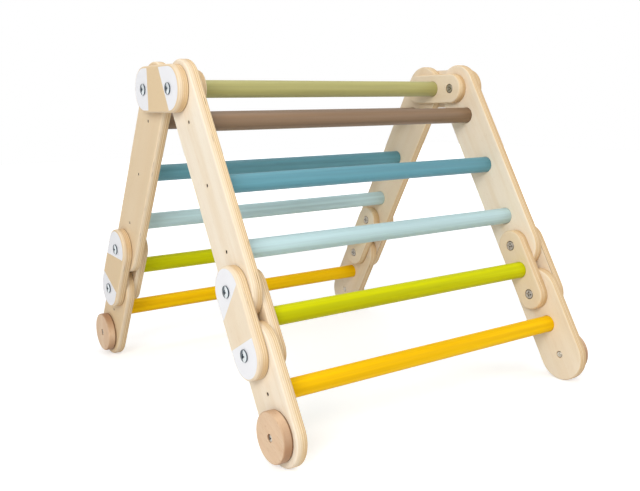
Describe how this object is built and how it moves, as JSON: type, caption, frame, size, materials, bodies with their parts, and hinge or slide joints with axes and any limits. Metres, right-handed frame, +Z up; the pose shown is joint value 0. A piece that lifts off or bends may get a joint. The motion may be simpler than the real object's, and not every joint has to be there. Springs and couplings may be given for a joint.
{
  "type": "climbing triangle",
  "caption": "Folding wooden climbing frame: two ladder legs with painted round rungs, hinged at a short apex link and again above each foot.",
  "frame": {"origin": "centre of the footprint at floor level, with both legs spread to their standing angle", "axes": "+X along the rungs, -Y towards the front leg, +Z up; the object is alike on both sides of X = 0 and of Y = 0"},
  "size_m": [0.6692, 0.753, 0.5796],
  "materials": {
    "birch_plywood": "clear satin lacquer on birch plywood, layers showing at the edges",
    "painted_plate": "birch plywood with white satin paint over both ends of its outer face",
    "foot_disc": "clear satin lacquer on beech",
    "rung_olive": "semi-gloss paint on a round hardwood bar",
    "rung_brown": "semi-gloss paint on a round hardwood bar",
    "rung_blue": "semi-gloss paint on a round hardwood bar",
    "rung_pale_blue": "semi-gloss paint on a round hardwood bar",
    "rung_lime": "semi-gloss paint on a round hardwood bar",
    "rung_yellow": "semi-gloss paint on a round hardwood bar",
    "zinc_fastener": "bright zinc plating"
  },
  "bodies": {
    "apex": {"apex_plate_outer_left": "painted_plate", "apex_plate_inner_left": "birch_plywood", "apex_plate_outer_right": "painted_plate", "apex_plate_inner_right": "birch_plywood", "apex_rung": "rung_olive", "apex_bolt_front_left": "zinc_fastener", "apex_bolt_rear_left": "zinc_fastener", "apex_bolt_front_right": "zinc_fastener", "apex_bolt_rear_right": "zinc_fastener"},
    "front_rails": {"front_rail_left": "birch_plywood", "front_rail_right": "birch_plywood", "front_rung_1": "rung_brown", "front_rung_2": "rung_blue", "front_rung_3": "rung_pale_blue"},
    "front_link": {"front_link_plate_outer_left": "painted_plate", "front_link_plate_inner_left": "birch_plywood", "front_link_plate_outer_right": "painted_plate", "front_link_plate_inner_right": "birch_plywood", "front_link_rung": "rung_lime", "front_link_bolt_upper_left": "zinc_fastener", "front_link_nut_upper_left": "zinc_fastener", "front_link_bolt_lower_left": "zinc_fastener", "front_link_nut_lower_left": "zinc_fastener", "front_link_bolt_upper_right": "zinc_fastener", "front_link_nut_upper_right": "zinc_fastener", "front_link_bolt_lower_right": "zinc_fastener", "front_link_nut_lower_right": "zinc_fastener"},
    "front_foot": {"front_foot_left": "birch_plywood", "front_foot_right": "birch_plywood", "front_foot_rung": "rung_yellow", "front_foot_disc_left": "foot_disc", "front_foot_bolt_left": "zinc_fastener", "front_foot_disc_right": "foot_disc", "front_foot_bolt_right": "zinc_fastener"},
    "rear_rails": {"rear_rail_left": "birch_plywood", "rear_rail_right": "birch_plywood", "rear_rung_1": "rung_brown", "rear_rung_2": "rung_blue", "rear_rung_3": "rung_pale_blue"},
    "rear_link": {"rear_link_plate_outer_left": "painted_plate", "rear_link_plate_inner_left": "birch_plywood", "rear_link_plate_outer_right": "painted_plate", "rear_link_plate_inner_right": "birch_plywood", "rear_link_rung": "rung_lime", "rear_link_bolt_upper_left": "zinc_fastener", "rear_link_nut_upper_left": "zinc_fastener", "rear_link_bolt_lower_left": "zinc_fastener", "rear_link_nut_lower_left": "zinc_fastener", "rear_link_bolt_upper_right": "zinc_fastener", "rear_link_nut_upper_right": "zinc_fastener", "rear_link_bolt_lower_right": "zinc_fastener", "rear_link_nut_lower_right": "zinc_fastener"},
    "rear_foot": {"rear_foot_left": "birch_plywood", "rear_foot_right": "birch_plywood", "rear_foot_rung": "rung_yellow", "rear_foot_disc_left": "foot_disc", "rear_foot_bolt_left": "zinc_fastener", "rear_foot_disc_right": "foot_disc", "rear_foot_bolt_right": "zinc_fastener"}
  },
  "joints": [
    {"name": "front_leg_hinge", "type": "hinge", "parent": "apex", "child": "front_rails", "pos_m": [0, -0.049, 0.53357], "axis": [-1, 0, 0], "range_deg": [-30, 60]},
    {"name": "front_link_hinge", "type": "hinge", "parent": "front_rails", "child": "front_link", "pos_m": [0, -0.22, 0.23739], "axis": [1, 0, 0], "range_deg": [-90, 90]},
    {"name": "front_foot_hinge", "type": "hinge", "parent": "front_link", "child": "front_foot", "pos_m": [0, -0.269, 0.15252], "axis": [1, 0, 0], "range_deg": [-90, 90]},
    {"name": "rear_leg_hinge", "type": "hinge", "parent": "apex", "child": "rear_rails", "pos_m": [0, 0.049, 0.53357], "axis": [1, 0, 0], "range_deg": [-30, 60]},
    {"name": "rear_link_hinge", "type": "hinge", "parent": "rear_rails", "child": "rear_link", "pos_m": [0, 0.22, 0.23739], "axis": [-1, 0, 0], "range_deg": [-90, 90]},
    {"name": "rear_foot_hinge", "type": "hinge", "parent": "rear_link", "child": "rear_foot", "pos_m": [0, 0.269, 0.15252], "axis": [-1, 0, 0], "range_deg": [-90, 90]}
  ]
}
